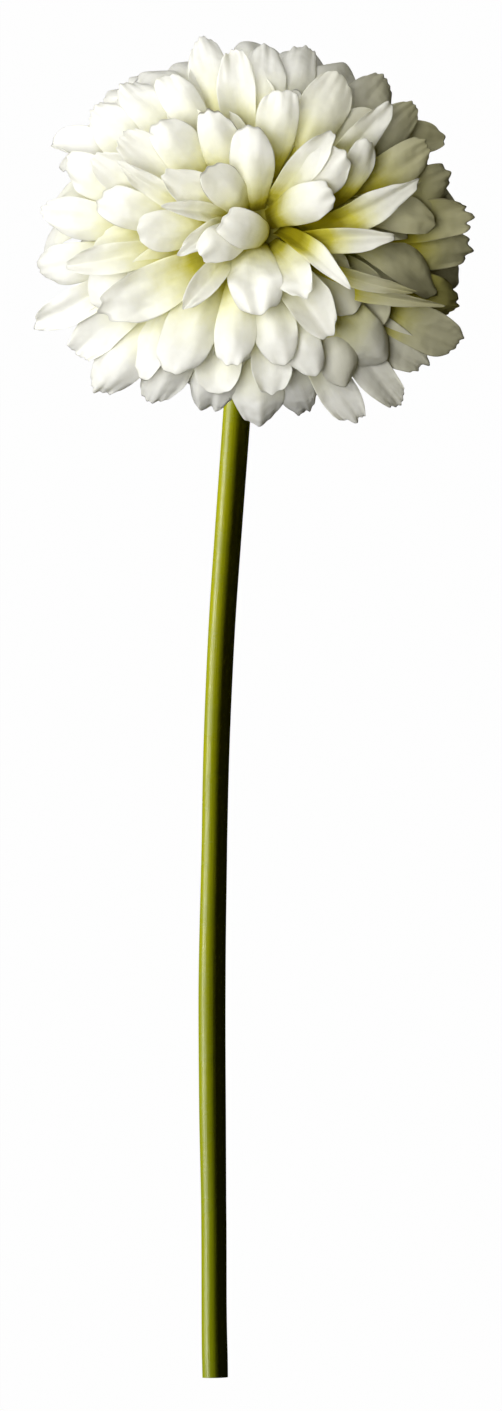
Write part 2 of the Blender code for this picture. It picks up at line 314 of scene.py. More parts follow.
class Paint(NodeSheet):
    """The nodes of a new material, with its Principled shader and its Object coordinates."""

    def __init__(self, name: str) -> None:
        """Start the material."""
        self.material = bpy.data.materials.new(name)
        self.material.use_nodes = True
        super().__init__(self.material.node_tree)
        self.shader = self.tree.nodes["Principled BSDF"]
        self.here = self.add("TexCoord").outputs["Object"]

    def attribute(self, name: str) -> Socket:
        """A number that each vertex of the piece carries."""
        return self.add("Attribute", attribute_name=name).outputs["Fac"]

    def flat(self) -> tuple[Socket, Socket]:
        """The places across and along the piece's UV map."""
        split = self.add("SeparateXYZ", {0: self.add("UVMap", uv_map="UVMap").outputs[0]})
        return split.outputs[0], split.outputs[1]

    def blend(self, share: object, other: Node) -> None:
        """Mix another shader into the Principled one, by its share."""
        both = self.add("MixShader", {0: share, 1: self.shader.outputs[0], 2: other.outputs[0]})
        self.fill(self.tree.nodes["Material Output"], {"Surface": both.outputs[0]})

    def dress(self, colour: Socket, rough: object, **more: object) -> Material:
        """Give the Principled shader its colour, roughness and more, and give the material."""
        self.fill(self.shader, {"Base Color": colour, "Roughness": rough, **more})
        return self.material


@dataclass(frozen=True)
class PetalFinish:
    """Soft petal: yellow-green at the claw, cream in the throat and white at the tip, with veins.

    The place on the colour ramp is a sum of shares: of how far out in the ball a point lies, how
    far along its petal, its vein and mottle masks, and the petal's own tone and claw. The claw's
    share is partly the claw's own colour and partly painted shade in the deep gap right of the
    crown.
    Painted shade also greys soft patches, darkens some edges and darkens the bloom's right side.
    """

    stops: tuple[tuple[float, Colour], ...] = (
        (0.40, (0.42, 0.36, 0.006)),
        (0.54, (0.72, 0.67, 0.080)),
        (0.67, (0.90, 0.89, 0.58)),
        (0.78, (0.94, 0.94, 0.84)),
        (0.89, (0.95, 0.95, 0.94)),
    )
    depth_share: float = 0.78
    along_share: float = 0.22
    vein_share: float = -0.018
    mottle_share: float = 0.04
    tone_share: float = 0.08
    # Pushes each petal's dark yellow-green out by its claw weight: partly its own claw colour,
    # partly painted shade in the deep gap right of the crown.
    claw_share: float = 0.62
    ramp_offset: float = 0.03
    # Painted shade along the petals' edges, weighed by each petal's rim.
    edge_shade_colour: Colour = (0.20, 0.18, 0.10)
    rim_sides: Range = (0.93, 1.0)
    rim_end: Range = (0.965, 1.0)
    shine_through: float = 0.38
    through_colour: Colour = (0.95, 0.93, 0.74)
    # Soft grey patches of painted shade, multiplied into the petal colour.
    shade_patch_colour: Colour = (0.80, 0.80, 0.76)
    shade_patch_share: float = 0.2
    # Painted shade: a warm darkening of the petals towards the bloom's right side, weighed per
    # petal.
    side_shade_colour: Colour = (0.42, 0.39, 0.13)
    side_shade_span: Range = (4.0 * MM, 52.0 * MM)
    roughness: Range = (0.48, 0.68)
    vein_depth: float = 0.10 * MM
    dent_scale: float = 210.0
    dent_depth: float = 1.2 * MM

    def make(self, effects: Effects) -> Material:
        """Build the material.

        Args:
            effects: the shared shader groups.

        Returns:
            The petal material. It reads the UV map and the petals' attributes.
        """
        sheet = Paint("petal_white")
        across, along = sheet.flat()
        depth, tone, edge_shade_weight, claw, age = map(sheet.attribute, PETAL_ATTRIBUTES)
        own = sheet.math("MULTIPLY", tone, 40.0)
        place = sheet.add("CombineXYZ", {0: across, 1: along, 2: own}).outputs[0]
        fibres = sheet.group(effects.fibres, place, Across=11.0, Along=2.4, Wander=0.12)
        mottle = sheet.group(effects.mottle, sheet.here, Scale=160.0, Specks=0.25)
        # The claw weight darkens a petal's inner part towards olive: partly real claw colour,
        # partly painted shade.
        below = sheet.math("MULTIPLY", claw, sheet.math("SUBTRACT", along, 1.0))
        level = sheet.math("MULTIPLY", depth, self.depth_share)
        for part, share in (
            (along, self.along_share),
            (fibres, self.vein_share),
            (mottle, self.mottle_share),
            (tone, self.tone_share),
            (below, self.claw_share),
        ):
            level = sheet.math("MULTIPLY_ADD", part, share, level)
        plain = sheet.ramp(sheet.math("SUBTRACT", level, self.ramp_offset), self.stops)
        # Soft patches of painted shade grey the petal colour a little.
        patches = sheet.group(effects.mottle, sheet.here, Scale=90.0, Specks=0.5)
        shaded = sheet.math("MULTIPLY", patches, self.shade_patch_share)
        patch_shaded = sheet.mix(shaded, plain, self.shade_patch_colour, "MULTIPLY")
        # Painted shade: the petal colour darkens towards the bloom's right side, by each petal's
        # own weight.
        side = sheet.add("SeparateXYZ", {0: sheet.here}).outputs[0]
        side_shade_share = sheet.math("MULTIPLY", sheet.ease(side, self.side_shade_span), age)
        side_shaded = sheet.mix(side_shade_share, patch_shaded, self.side_shade_colour, "MULTIPLY")
        edge = sheet.math("ABSOLUTE", sheet.math("MULTIPLY_ADD", across, 2.0, -1.0))
        outer_half = sheet.ease(along, (0.55, 0.8))
        sides = sheet.math("MULTIPLY", sheet.ease(edge, self.rim_sides), outer_half)
        rim = sheet.math("MAXIMUM", sides, sheet.ease(along, self.rim_end))
        # Painted shade: the edges darken by each petal's rim weight.
        colour = sheet.mix(sheet.math("MULTIPLY", rim, edge_shade_weight), side_shaded, self.edge_shade_colour)
        dents = sheet.bump(sheet.noise(sheet.here, self.dent_scale, 1.0), 0.6, self.dent_depth)
        normal = sheet.bump(fibres, 0.2, self.vein_depth, Normal=dents)
        through = sheet.mix(1.0, colour, self.through_colour, "MULTIPLY")
        glow = sheet.add("BsdfTranslucent", {"Color": through, "Normal": normal})
        sheet.blend(self.shine_through, glow)
        rough = sheet.ease(fibres, (0.0, 1.0), self.roughness)
        return sheet.dress(colour, rough, **{"Normal": normal, "Specular IOR Level": 0.35})


@dataclass(frozen=True)
class CoreFinish:
    """The rough yellow-green heart of the bloom, darker in its dents."""

    dents: Colour = (0.16, 0.14, 0.006)
    bumps: Colour = (0.52, 0.47, 0.03)
    roughness: Range = (0.85, 0.6)

    def make(self, effects: Effects) -> Material:
        """Build the material.

        Args:
            effects: the shared shader groups.

        Returns:
            The core material, on Object coordinates.
        """
        sheet = Paint("core_green")
        mottle = sheet.group(effects.mottle, sheet.here, Scale=140.0, Specks=0.5)
        share = sheet.math("MULTIPLY_ADD", sheet.cells(sheet.here, 260.0), -1.4, 1.0)
        colour = sheet.mix(sheet.math("MULTIPLY", share, mottle), self.dents, self.bumps)
        rough = sheet.ease(share, (0.0, 1.0), self.roughness)
        return sheet.dress(colour, rough, Normal=sheet.bump(share, 0.8, 0.6 * MM))


@dataclass(frozen=True)
class StemFinish:
    """Waxy green skin with faint long fibres, a little darker and greener towards the cut."""

    low: Colour = (0.40, 0.45, 0.004)
    high: Colour = (0.56, 0.56, 0.004)
    shade: Colour = (0.30, 0.36, 0.003)
    patch_share: float = 0.35
    fibre_share: float = 0.22
    roughness: Range = (0.21, 0.30)
    from_cut_to_neck: Range = (-195.0 * MM, 80.0 * MM)

    def make(self, effects: Effects) -> Material:
        """Build the material.

        Args:
            effects: the shared shader groups.

        Returns:
            The stem material. Its fibres follow the UV map, and its tint the object's length.
        """
        sheet = Paint("stem_green")
        around, along = sheet.flat()
        turn = sheet.math("MULTIPLY", around, math.tau)
        ring = {
            0: sheet.math("COSINE", turn),
            1: sheet.math("MULTIPLY", along, 6.0),
            2: sheet.math("MULTIPLY", sheet.math("SINE", turn), 14.0),
        }
        place = sheet.add("CombineXYZ", ring).outputs[0]
        fibres = sheet.group(effects.fibres, place, Across=14.0, Along=1.6, Wander=0.05)
        mottle = sheet.group(effects.mottle, sheet.here, Scale=70.0, Specks=0.35)
        length = sheet.add("SeparateXYZ", {0: sheet.here}).outputs[1]
        tint = sheet.mix(sheet.ease(length, self.from_cut_to_neck), self.low, self.high)
        patched = sheet.mix(sheet.math("MULTIPLY", mottle, self.patch_share), tint, self.shade)
        colour = sheet.mix(sheet.math("MULTIPLY", fibres, self.fibre_share), patched, self.shade)
        rough = sheet.ease(mottle, (0.0, 1.0), self.roughness)
        normal = sheet.bump(fibres, 0.3, 0.08 * MM)
        return sheet.dress(colour, rough, **{"Normal": normal, "Specular IOR Level": 0.4})


@dataclass(frozen=True)
class CutFinish:
    """The cut across the stem: pale wet pith inside a greener rind."""

    pith: Colour = (0.46, 0.50, 0.20)
    rind: Colour = (0.20, 0.26, 0.03)
    roughness: Range = (0.35, 0.6)

    def make(self, effects: Effects) -> Material:
        """Build the material.

        Args:
            effects: the shared shader groups.

        Returns:
            The cut material, on Object coordinates.
        """
        sheet = Paint("stem_cut")
        mottle = sheet.group(effects.mottle, sheet.here, Scale=900.0, Specks=0.6)
        colour = sheet.mix(sheet.math("MULTIPLY", mottle, 0.6), self.pith, self.rind)
        rough = sheet.ease(mottle, (0.0, 1.0), self.roughness)
        normal = sheet.bump(sheet.cells(sheet.here, 2600.0), 0.5, 0.1 * MM)
        return sheet.dress(colour, rough, Normal=normal)


@dataclass(frozen=True)
class TableFinish:
    """Plain pale board. It looks evenly lit, and throws little light back at the flower."""

    seen: Colour = (1.0, 1.0, 1.0)
    board: Colour = (0.14, 0.14, 0.13)
    patches: Colour = (0.126, 0.126, 0.117)
    roughness: float = 0.9
    evenness: float = 0.99

    def make(self, effects: Effects) -> Material:
        """Build the material.

        Args:
            effects: the shared shader groups.

        Returns:
            The floor's material, on Object coordinates.
        """
        sheet = Paint("table_pale")
        mottle = sheet.group(effects.mottle, sheet.here, Scale=8.0, Specks=0.2)
        colour = sheet.mix(sheet.math("MULTIPLY", mottle, 0.1), self.board, self.patches)
        glow = sheet.add("Emission", {"Color": self.seen, "Strength": 1.0})
        camera_ray = sheet.add("LightPath").outputs["Is Camera Ray"]
        sheet.blend(sheet.math("MULTIPLY", camera_ray, self.evenness), glow)
        return sheet.dress(colour, self.roughness)


@dataclass
class Petal:
    """Where one petal grows and how it is shaped.

    root and tip are directions from the bloom's centre. The petal rises along root to rise times
    reach, then bends over to its tip, which lies at reach. No part of it lies lower than floor.
    rim is how much painted shade darkens its edge, claw how far its yellow-green reaches out,
    partly as painted shade, age how much painted shade darkens it towards the bloom's right side,
    and fringe how toothed its end is.
    """

    root: Vector
    tip: Vector
    reach: float
    rise: float
    half_width: float
    cup: float
    twist: float = 0.0
    point: float = 0.0
    floor: float = 0.3 * MM
    rim: float | None = None
    claw: float = 0.0
    age: float = 0.8
    fringe: float = 0.0


@dataclass(frozen=True)
class Habit:
    """How far petals of one form stray from a plain spoon. Each pair is the least and the most.

    sharpness is 1 where the petal is folded along its middle and 0 where it is evenly curved.
    """

    sharpness: Range
    flare: Range
    curl: Range
    ruffle: Range
    crease: Range
    notch: Range
    roundness: Range
    frill: Range


class PetalForm(Enum):
    """The forms that petals take, told apart by their cup."""

    ARCHED = Habit(
        sharpness=(0.3, 0.8), flare=(0.02, 0.14), curl=(-0.60, 0.00), ruffle=(0.05, 0.16),
        crease=(0.02, 0.10), notch=(-0.03, 0.02), roundness=(0.86, 1.00), frill=(0.002, 0.010),
    )
    SPOON = Habit(
        sharpness=(0.1, 0.6), flare=(-0.08, 0.06), curl=(0.00, 0.35), ruffle=(0.08, 0.24),
        crease=(0.02, 0.10), notch=(-0.05, 0.02), roundness=(0.88, 1.00), frill=(0.004, 0.014),
    )
    FOLDED = Habit(
        sharpness=(0.6, 1.0), flare=(-0.10, 0.10), curl=(-0.05, 0.40), ruffle=(0.10, 0.30),
        crease=(0.05, 0.15), notch=(-0.14, -0.02), roundness=(0.90, 1.00), frill=(0.004, 0.014),
    )

    @classmethod
    def of_cup(cls, cup: float) -> "PetalForm":
        """The form of a petal with this cup."""
        if cup < 0:
            return cls.ARCHED
        return cls.FOLDED if cup >= 0.34 else cls.SPOON


class Detail(Enum):
    """How many columns and rows a petal's cage has."""

    FINE = (16, 22)
    FRINGED = (14, 17)
    MEDIUM = (10, 14)
    PLAIN = (8, 11)
    SMALL = (6, 9)


@dataclass(frozen=True)
class FrontPetal:
    """A listed petal, as seen from above, in millimetres.

    tip and bend are its end and its knee, right of and above the bloom's centre.
    """

    tip: Range
    bend: Range
    half_width: float
    cup: float
    rim: float | None = None
    point: float = 0.0
    # claw pushes the petal's dark yellow-green out: partly its own colour, partly painted shade.
    claw: float = 0.0
    # How much of the painted right-side shade this petal takes, where it isn't the plan's own.
    age: float | None = None


CROWN_PETALS = (
    FrontPetal((-28, 30), (-15, 16.5), 6.4, -0.30, rim=0.35),
    FrontPetal((-12, 33.5), (-8.5, 17), 6.0, -0.28, rim=0.85),
    FrontPetal((-0.5, 28.5), (0.5, 8), 6.6, -0.36, rim=0.45),
    FrontPetal((-13, 17), (-3, 6), 5.8, -0.22, rim=0.6),
    FrontPetal((-24, 15), (-10, 5.5), 5.6, 0.22, rim=0.1),
    FrontPetal((-22.5, 5.5), (-8, 3.5), 2.8, 0.50, rim=0.1),
    FrontPetal((-33, -1), (-15, -1), 6.2, -0.30, rim=0.1),
    FrontPetal((-19, -6.5), (-7, 2), 3.4, 0.55, rim=0.1),
    FrontPetal((-44.5, 8.5), (-25, 1), 6.0, -0.22, rim=0.3),
    FrontPetal((-14, -8), (-2, 0), 5.6, -0.18, rim=0.0),
    FrontPetal((-7.5, 1.5), (6, -4.5), 5.6, -0.30, rim=0.3),
    FrontPetal((1.5, -22.5), (-0.5, -7.5), 8.1, -0.20, rim=0.1, point=0.07),
    FrontPetal((15.5, -19.5), (7.5, -7.5), 5.5, 0.28, rim=0.0),
    FrontPetal((22, -30), (9.5, -12), 6.5, 0.32, rim=0.1),
    FrontPetal((17.5, -42.5), (8.5, -23.5), 6.4, -0.30, rim=0.1),
    FrontPetal((-6.5, -40), (-4, -17.5), 6.1, -0.40, rim=0.05),
    FrontPetal((9.5, -39.5), (3, -17.5), 6.6, -0.40, rim=0.05),
    FrontPetal((-24.5, -41.5), (-12, -18), 8.0, -0.35, rim=0.1),
    FrontPetal((-42, -23.5), (-17.5, -13.5), 7.6, 0.15, rim=0.3),
    FrontPetal((-19, -22.5), (-7, -8.5), 3.8, 0.60, rim=0.1),
    FrontPetal((22, 25.5), (8, 9.5), 4.6, 0.35, rim=0.2),
    FrontPetal((26.5, 20.5), (11.5, 8.5), 7.0, -0.25, rim=0.3, claw=0.1),
    FrontPetal((22, 9.5), (7, 3.5), 5.8, -0.30, rim=0.2, claw=0.2),
    FrontPetal((38.5, 34.5), (21, 12), 4.6, 0.35, rim=0.2, claw=0.5),
    FrontPetal((34, 24.5), (25.5, 5.5), 5.2, -0.22, rim=0.2, claw=0.8),
    FrontPetal((42.5, 10), (21, -2.5), 5.0, 0.30, rim=0.2, point=0.10, claw=1.0),
    FrontPetal((37.5, -3), (13, -5), 3.8, 0.35, rim=0.2, claw=0.9, age=0.25),
    FrontPetal((23.5, -13), (11.5, -1.5), 3.3, 0.42, rim=0.1, point=0.12, claw=0.8),
    FrontPetal((46.5, -21.5), (21, -17), 2.9, 0.50, rim=0.2, point=0.08, claw=0.8, age=0.8),
    FrontPetal((42, -18), (19, -13), 2.6, 0.45, rim=0.2, point=0.08, claw=0.8, age=0.9),
    FrontPetal((39.5, -39), (17, -19), 8.0, -0.30, rim=0.1, claw=0.6, age=0.4),
)

RIM_PETALS = (
    FrontPetal((-38, 26.5), (-21.5, 13.5), 6.0, 0.25),
    FrontPetal((-36, 16.5), (-21, 5.5), 3.4, 0.50),
    FrontPetal((-45, 20), (-29.5, 9.5), 6.0, 0.25),
    FrontPetal((-55.5, 18.5), (-39, 10), 6.2, -0.25),
    FrontPetal((-60, 4), (-41, 0.5), 6.0, -0.25),
    FrontPetal((-63.5, -12), (-44, -9), 6.0, -0.25),
    FrontPetal((-51.5, -11), (-29.5, -7.5), 4.5, 0.40),
    FrontPetal((-60, -27), (-41, -17), 5.2, 0.35),
    FrontPetal((-51, -37), (-36, -22), 6.2, 0.25),
    FrontPetal((-45.5, -47), (-29.5, -28), 7.2, -0.30),
    FrontPetal((-29.5, -50.5), (-19.5, -30.5), 6.6, -0.30),
    FrontPetal((-13.5, -54.5), (-8.5, -33.5), 7.2, -0.35),
    FrontPetal((1.5, -57.5), (1, -36.5), 8.0, -0.30),
    FrontPetal((15.5, -54.5), (9, -35), 6.8, -0.30, age=0.2),
    FrontPetal((30, -55.5), (17.5, -36.5), 5.6, 0.25, age=0.2),
    FrontPetal((41, -49), (25, -30.5), 5.4, 0.35, age=0.3),
    FrontPetal((59.5, -33.5), (36, -23.5), 6.6, 0.25, rim=0.4, claw=0.7, age=0.7),
    FrontPetal((61, -22), (38.5, -17.5), 6.2, -0.22, rim=0.6, claw=1.0, age=1.2),
    FrontPetal((63, -6), (40, -6), 6.6, -0.22, rim=0.9, claw=1.0),
    FrontPetal((61, 3.5), (40, 0.5), 6.2, 0.26, rim=0.8, claw=0.8),
    FrontPetal((58, 15), (38.5, 7), 6.6, -0.25, rim=0.7, claw=0.6),
    FrontPetal((51, 23), (33.5, 11.5), 6.0, -0.25, claw=0.5),
    FrontPetal((47, 35.5), (30.5, 20), 6.0, -0.25),
    FrontPetal((39.5, 44.5), (25.5, 27.5), 7.0, -0.25),
    FrontPetal((26, 43.5), (15.5, 24.5), 7.2, -0.28),
    FrontPetal((15, 54.5), (9.5, 33), 6.0, -0.25),
    FrontPetal((9, 39.5), (5.5, 21.5), 6.4, -0.30),
    FrontPetal((4, 53.5), (3, 33), 6.2, -0.30),
    FrontPetal((-6, 50), (-3.5, 30), 5.6, 0.25),
    FrontPetal((-15.5, 55), (-10.5, 34.5), 5.8, -0.25),
    FrontPetal((-26, 44.5), (-16, 29), 5.6, -0.25),
    FrontPetal((-38, 42.5), (-24, 27.5), 6.6, -0.28),
    FrontPetal((-48, 34), (-32.5, 21.5), 6.6, -0.25),
    FrontPetal((49, -40), (31, -27), 5.8, 0.25, rim=0.3, age=0.5),
)

STEM_LINE = smooth_line(
    [
        Vector(point) * MM
        for point in (
            (-10.9, -195.5, 3.8),
            (-11.2, -178.0, 4.0),
            (-11.3, -149.0, 4.8),
            (-11.7, -115.0, 6.5),
            (-11.8, -80.0, 8.9),
            (-11.2, -45.0, 11.9),
            (-10.5, -12.0, 15.3),
            (-9.0, 22.0, 19.4),
            (-7.1, 50.0, 23.5),
            (-5.2, 76.0, 28.0),
            (-3.6, 98.0, 32.5),
            (-2.0, 118.0, 37.4),
            (-1.0, 130.0, 41.0),
        )
    ],
    6,
)


@dataclass(frozen=True)
class Spiral:
    """A golden-angle spiral of petals, and the ranges that its petals are drawn from.

    bends are shares of the plan's bend, held under growth times the angle from the crown, over
    the plan's own least, and under neck_growth times the angle from the neck. Petals near the
    crown reach sink times as far, and none stands within bare of it. layers says how many floor
    layers its even and its odd petals keep free.
    """

    spots: int
    seed: int
    bends: Range
    growth: float
    neck_growth: float
    reaches: Range
    half_width: float
    cups: tuple[float, ...]
    points: tuple[float, ...]
    sink: float
    bare: float
    layers: tuple[int, int]


OUTER_SPIRAL = Spiral(
    spots=178, seed=11, bends=(0.85, 1.15), growth=0.5, neck_growth=0.55, reaches=(0.90, 0.99),
    half_width=6.8 * MM, cups=(-0.34, -0.28, -0.22, 0.26), points=(0.0, 0.0, 0.04), sink=0.87,
    bare=math.radians(25.0), layers=(0, 1),
)
INNER_SPIRAL = Spiral(
    spots=120, seed=5, bends=(0.5, 1.0), growth=0.4, neck_growth=math.inf, reaches=(0.80, 0.90),
    half_width=5.6 * MM, cups=(-0.3, 0.3, 0.45), points=(0.0, 0.05, 0.09), sink=0.88,
    bare=math.radians(44.0), layers=(1, 1),
)


@dataclass
class PetalPlan:
    """Says where every petal of the bloom grows."""

    centre: Vector = Vector((0.0, 138.0, 50.5)) * MM
    half_sizes: Vector = Vector((63.5, 56.5, 58.5)) * MM
    crown: Vector = Vector((0.03, 0.06, 1.0)).normalized()
    neck: Vector = Vector((-0.08, -0.92, -0.38)).normalized()
    neck_opening: float = math.radians(15.0)
    height_jitter: float = 0.006
    turn_jitter: float = 0.12
    rise_range: Range = (0.80, 0.90)
    size_range: Range = (0.85, 1.15)
    cup_range: Range = (0.7, 1.3)
    most_twist: float = math.radians(16.0)
    bend: float = math.radians(21.0)
    crown_bend: float = math.radians(7.0)
    thickness: float = 0.7 * MM
    floor_layer: float = 0.9 * MM
    front_reach: float = 0.97
    front_lift: float = 0.06
    front_rise: float = 0.80
    front_room: float = 12.0 * MM
    steepest: float = 0.02
    # How much of the painted right-side shade the listed crown petals and rim petals take.
    crown_side_shade: float = 0.2
    rim_side_shade: float = 0.8
    rim_fringe: float = 0.012
    filler_zone: float = math.radians(52.0)

    def lean_at(self, direction: Vector) -> Vector:
        """The way that petals lean at a place on the ball: from the crown towards the neck.

        Args:
            direction: the way from the bloom's centre to the place.

        Returns:
            The lean, along the ball's surface.
        """
        from_crown = direction - self.crown
        from_neck = direction - self.neck
        lean = from_crown / from_crown.length_squared - from_neck / from_neck.length_squared
        return (lean - lean.dot(direction) * direction).normalized()

    def ball_reach(self, direction: Vector) -> float:
        """The distance from the bloom's centre to the ball's surface."""
        return 1.0 / Vector(direction[axis] / self.half_sizes[axis] for axis in range(3)).length

    def seen_from_above(self, place: Range, share: float) -> Vector:
        """A place on the ball, or just outside it, as it is seen from above.

        Args:
            place: millimetres right of the bloom's centre and above it.
            share: how large the ball is, as a share of its size.

        Returns:
            The place, from the bloom's centre.
        """
        right, up = place[0] * MM, place[1] * MM
        wide, long, high = self.half_sizes * share
        left_over = 1 - (right / wide) ** 2 - (up / long) ** 2
        return Vector((right, up, high * math.sqrt(max(self.steepest, left_over))))

    def front(self) -> list[Petal]:
        """The listed petals, a little higher at the crown and the rim than between them.

        Returns:
            The petals of the crown, then those of the rim.
        """
        petals = []
        for row in CROWN_PETALS + RIM_PETALS:
            at_crown = row in CROWN_PETALS
            age = self.crown_side_shade if at_crown else self.rim_side_shade
            outward = math.hypot(*row.tip) * MM / self.half_sizes.x
            share = self.front_reach + self.front_lift * abs(0.5 - outward)
            tip = self.seen_from_above(row.tip, share)
            root = self.seen_from_above(row.bend, share * self.front_rise)
            petal = Petal(
                root=root.normalized(),
                tip=tip.normalized(),
                reach=tip.length,
                rise=self.front_rise,
                half_width=row.half_width * MM,
                cup=row.cup,
                point=row.point,
                rim=row.rim,
                claw=row.claw,
                age=age if row.age is None else row.age,
                fringe=0.0 if at_crown else self.rim_fringe,
            )
            petals.append(petal)
        return petals

    def spiral_tip(self, spot: int, spots: int, draw: random.Random) -> tuple[Vector, float]:
        """A place on the golden-angle spiral.

        Args:
            spot: the number of the place, from the crown down.
            spots: how many places the spiral has.
            draw: the generator of its two small jitters.

        Returns:
            The direction of the place, and its angle from the crown.
        """
        jitter = draw.uniform(-self.height_jitter, self.height_jitter)
        polar = math.acos(1 - 2 * (spot + 0.5) / spots + jitter)
        around = spot * GOLDEN_ANGLE + draw.uniform(-self.turn_jitter, self.turn_jitter)
        flat = math.sin(polar)
        place = Vector((flat * math.cos(around), flat * math.sin(around), math.cos(polar)))
        return self.crown.to_track_quat("Z", "Y") @ place, polar

    def root_of(self, tip: Vector, bend: float) -> Vector:
        """The direction that a petal rises in before it bends over to its tip."""
        return (tip * math.cos(bend) - self.lean_at(tip) * math.sin(bend)).normalized()

    def spiral(self, kind: Spiral, taken: Sequence[Vector] = ()) -> list[Petal]:
        """One petal at each free spot of a spiral.

        Args:
            kind: the spiral. The outer one draws as the solid bloom does.
            taken: the tips of other petals, from the bloom's centre, that spots keep clear of.

        Returns:
            The petals, from the crown down.
        """
        draw = random.Random(kind.seed)
        petals = []
        for spot in range(kind.spots):
            tip, polar = self.spiral_tip(spot, kind.spots, draw)
            from_neck = tip.angle(self.neck)
            bend = min(
                self.bend * draw.uniform(*kind.bends),
                self.crown_bend + kind.growth * polar,
                kind.neck_growth * from_neck,
            )
            petal = Petal(
                root=self.root_of(tip, bend),
                tip=tip,
                reach=self.ball_reach(tip) * draw.uniform(*kind.reaches),
                rise=draw.uniform(*self.rise_range),
                half_width=kind.half_width * draw.uniform(*self.size_range),
                cup=draw.choice(kind.cups) * draw.uniform(*self.cup_range),
                twist=draw.uniform(-self.most_twist, self.most_twist),
                point=draw.choice(kind.points),
                floor=self.thickness / 2 + self.floor_layer * kind.layers[spot % 2],
            )
            if polar < self.filler_zone:
                petal.reach *= kind.sink
            place = tip * self.ball_reach(tip) * self.front_reach
            free = all((place - other).length > self.front_room for other in taken)
            if free and polar > kind.bare and from_neck > self.neck_opening:
                petals.append(petal)
        return petals


@dataclass
class PetalBlank:
    """A flat grid that petals are shaped from, with its thickness group and attributes.

    Its points lie across it from -1 to 1, and along it from 0 at the claw to 1 at the tip.
    """

    detail: Detail
    rim_flesh: float = 0.45
    row_spacing: float = 0.85
    sheet: Object = field(init=False)
    across: np.ndarray = field(init=False)
    along: np.ndarray = field(init=False)

    def __post_init__(self) -> None:
        """Make the grid. Its UV map runs across the petal and along it."""
        columns, rows = self.detail.value
        bpy.ops.mesh.primitive_grid_add(x_subdivisions=columns, y_subdivisions=rows, size=2.0)
        self.sheet = bpy.context.active_object
        flat = places_of(self.sheet.data)
        self.across, self.along = flat[:, 0], ((flat[:, 1] + 1) / 2) ** self.row_spacing
        flesh = self.sheet.vertex_groups.new(name="flesh")
        for number, (across, along) in enumerate(zip(self.across, self.along)):
            at_rim = abs(across) > 0.999 or along > 0.999
            flesh.add([number], self.rim_flesh if at_rim else 1.0, "REPLACE")
        for name in PETAL_ATTRIBUTES:
            set_values(self.sheet.data, name, 0.0)

    def copy(self, places: np.ndarray, values: Sequence[np.ndarray | float]) -> Object:
        """Make a petal from the blank.

        Args:
            places: where its points lie.
            values: its attributes, in the order of their names.

        Returns:
            The petal.
        """
        petal = self.sheet.copy()
        petal.data = self.sheet.data.copy()
        set_places(petal.data, places)
        for name, value in zip(PETAL_ATTRIBUTES, values):
            set_values(petal.data, name, value)
        bpy.context.scene.collection.objects.link(petal)
        return petal


